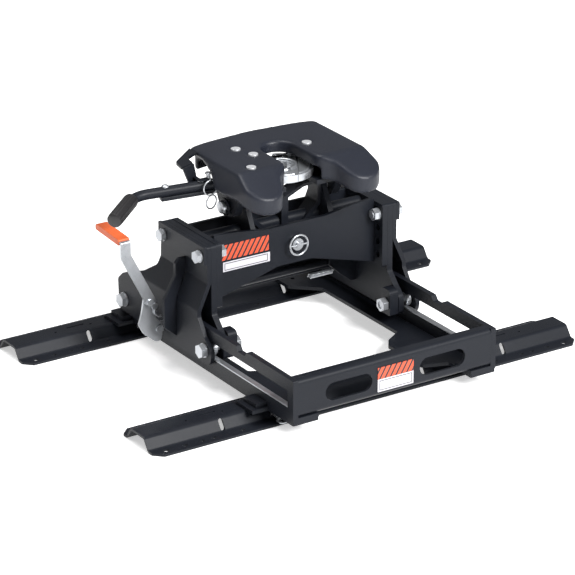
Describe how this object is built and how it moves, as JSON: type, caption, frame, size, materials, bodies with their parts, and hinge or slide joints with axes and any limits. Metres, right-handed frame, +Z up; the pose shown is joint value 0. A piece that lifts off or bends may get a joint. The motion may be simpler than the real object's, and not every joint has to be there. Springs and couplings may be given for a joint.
{
  "type": "fifth wheel hitch",
  "caption": "Sliding fifth wheel hitch: a tilting black head with locking jaws on a roller carriage, in a base with two bed rails, hand levers and locking pins",
  "frame": {"origin": "on the truck bed, in the middle of the bolt pattern of the two base rails", "axes": "+X to the right-hand side as the picture shows it, along the rails; +Y towards the cab; +Z up"},
  "size_m": [1.103, 0.7906, 0.4606],
  "materials": {
    "black_powder_coat": "satin black powder coat",
    "zinc_plate": "bright zinc plated steel",
    "orange_grip": "orange dipped grip",
    "black_rubber": "black rubber sleeve",
    "label_film": "printed label film, orange over white, no lettering"
  },
  "bodies": {
    "base": {"front_rail": "black_powder_coat", "rear_rail": "black_powder_coat", "left_track_wall": "black_powder_coat", "right_track_wall": "black_powder_coat", "left_base_plate": "black_powder_coat", "right_base_plate": "black_powder_coat", "left_wear_strip": "zinc_plate", "right_wear_strip": "zinc_plate", "tail_crossbar": "black_powder_coat", "rail_hooks": "black_powder_coat", "base_label": "label_film"},
    "left_tail_pin": {"left_tail_rail_pin": "zinc_plate"},
    "right_tail_pin": {"right_tail_rail_pin": "zinc_plate"},
    "left_cab_pin": {"left_cab_rail_pin": "zinc_plate"},
    "right_cab_pin": {"right_cab_rail_pin": "zinc_plate"},
    "carriage": {"left_outer_leg": "black_powder_coat", "right_outer_leg": "black_powder_coat", "left_inner_leg": "black_powder_coat", "right_inner_leg": "black_powder_coat", "leg_doublers": "black_powder_coat", "leg_ribs": "black_powder_coat", "left_yoke_end": "black_powder_coat", "right_yoke_end": "black_powder_coat", "yoke_tail_beam": "black_powder_coat", "yoke_cab_beam": "black_powder_coat", "yoke_gussets": "black_powder_coat", "yoke_label": "label_film", "yoke_bolts": "zinc_plate", "yoke_nuts": "zinc_plate", "axle_bolts": "zinc_plate", "axle_nuts": "zinc_plate", "axle_blocks": "black_powder_coat", "head_support": "black_powder_coat", "pivot_pins": "zinc_plate", "lock_spring": "zinc_plate", "lever_mount": "zinc_plate"},
    "left_tail_wheel": {"left_tail_roller": "zinc_plate"},
    "left_cab_wheel": {"left_cab_roller": "zinc_plate"},
    "right_tail_wheel": {"right_tail_roller": "zinc_plate"},
    "right_cab_wheel": {"right_cab_roller": "zinc_plate"},
    "cross_lock": {"lock_bar": "black_powder_coat"},
    "lever": {"slide_lever": "zinc_plate", "lever_grip": "orange_grip", "lever_bolts": "zinc_plate", "lever_bracket": "zinc_plate", "lever_link": "zinc_plate"},
    "head": {"head_plate": "black_powder_coat", "head_cheeks": "black_powder_coat", "jaw_shelf": "black_powder_coat", "head_screws": "zinc_plate", "jaw_pins": "zinc_plate", "release_bracket": "black_powder_coat"},
    "jaw_on_left": {"left_jaw": "zinc_plate"},
    "jaw_on_right": {"right_jaw": "zinc_plate"},
    "release_handle": {"release_bar": "black_powder_coat", "release_grip": "black_rubber"},
    "release_pin": {"safety_pin": "zinc_plate", "safety_clip": "zinc_plate"},
    "pull_pin": {"beam_pin": "zinc_plate", "beam_ring": "zinc_plate"}
  },
  "joints": [
    {"name": "left_tail_pin_slide", "type": "slide", "parent": "base", "child": "left_tail_pin", "axis": [0, -1, 0], "range_m": [0, 0.05]},
    {"name": "left_cab_pin_slide", "type": "slide", "parent": "base", "child": "left_cab_pin", "axis": [0, -1, 0], "range_m": [0, 0.05]},
    {"name": "right_tail_pin_slide", "type": "slide", "parent": "base", "child": "right_tail_pin", "axis": [0, -1, 0], "range_m": [0, 0.05]},
    {"name": "right_cab_pin_slide", "type": "slide", "parent": "base", "child": "right_cab_pin", "axis": [0, -1, 0], "range_m": [0, 0.05]},
    {"name": "carriage_slide", "type": "slide", "parent": "base", "child": "carriage", "axis": [0, -1, 0], "range_m": [0, 0.295]},
    {"name": "left_tail_roll", "type": "hinge", "parent": "carriage", "child": "left_tail_wheel", "pos_m": [-0.2555, -0.097, 0.0853], "axis": [1, 0, 0], "range_deg": [0, 1060]},
    {"name": "left_cab_roll", "type": "hinge", "parent": "carriage", "child": "left_cab_wheel", "pos_m": [-0.2555, 0.243, 0.0853], "axis": [1, 0, 0], "range_deg": [0, 1060]},
    {"name": "right_tail_roll", "type": "hinge", "parent": "carriage", "child": "right_tail_wheel", "pos_m": [0.2555, -0.097, 0.0853], "axis": [1, 0, 0], "range_deg": [0, 1060]},
    {"name": "right_cab_roll", "type": "hinge", "parent": "carriage", "child": "right_cab_wheel", "pos_m": [0.2555, 0.243, 0.0853], "axis": [1, 0, 0], "range_deg": [0, 1060]},
    {"name": "lever_swing", "type": "hinge", "parent": "carriage", "child": "lever", "pos_m": [-0.29, 0.068, 0.082], "axis": [0, 1, 0], "range_deg": [0, 12]},
    {"name": "lock_drop", "type": "slide", "parent": "carriage", "child": "cross_lock", "axis": [0, 0, 1], "range_m": [-0.0112, 0]},
    {"name": "head_pitch", "type": "hinge", "parent": "carriage", "child": "head", "pos_m": [0, 0.025, 0.352], "axis": [1, 0, 0], "range_deg": [-12, 12]},
    {"name": "left_jaw_swing", "type": "hinge", "parent": "head", "child": "jaw_on_left", "pos_m": [-0.052, 0.066, 0.4115], "axis": [0, 0, 1], "range_deg": [-16, 0]},
    {"name": "right_jaw_swing", "type": "hinge", "parent": "head", "child": "jaw_on_right", "pos_m": [0.052, 0.066, 0.4115], "axis": [0, 0, 1], "range_deg": [0, 16]},
    {"name": "release_pull", "type": "slide", "parent": "head", "child": "release_handle", "axis": [-0.9666, 0.2517, -0.0478], "range_m": [0, 0.06]},
    {"name": "safety_pin_drop", "type": "slide", "parent": "head", "child": "release_pin", "axis": [0, 0, 1], "range_m": [-0.008, 0]},
    {"name": "pull_pin_slide", "type": "slide", "parent": "carriage", "child": "pull_pin", "axis": [0, -1, 0], "range_m": [0, 0.012]}
  ],
  "couplings": [
    {"joint": "left_tail_roll", "follows": "carriage_slide", "rad_per_m": 62.5},
    {"joint": "left_cab_roll", "follows": "carriage_slide", "rad_per_m": 62.5},
    {"joint": "right_tail_roll", "follows": "carriage_slide", "rad_per_m": 62.5},
    {"joint": "right_cab_roll", "follows": "carriage_slide", "rad_per_m": 62.5},
    {"joint": "lock_drop", "follows": "lever_swing", "m_per_rad": -0.053},
    {"joint": "left_jaw_swing", "follows": "release_pull", "rad_per_m": -4.6251},
    {"joint": "right_jaw_swing", "follows": "release_pull", "rad_per_m": 4.6251}
  ]
}
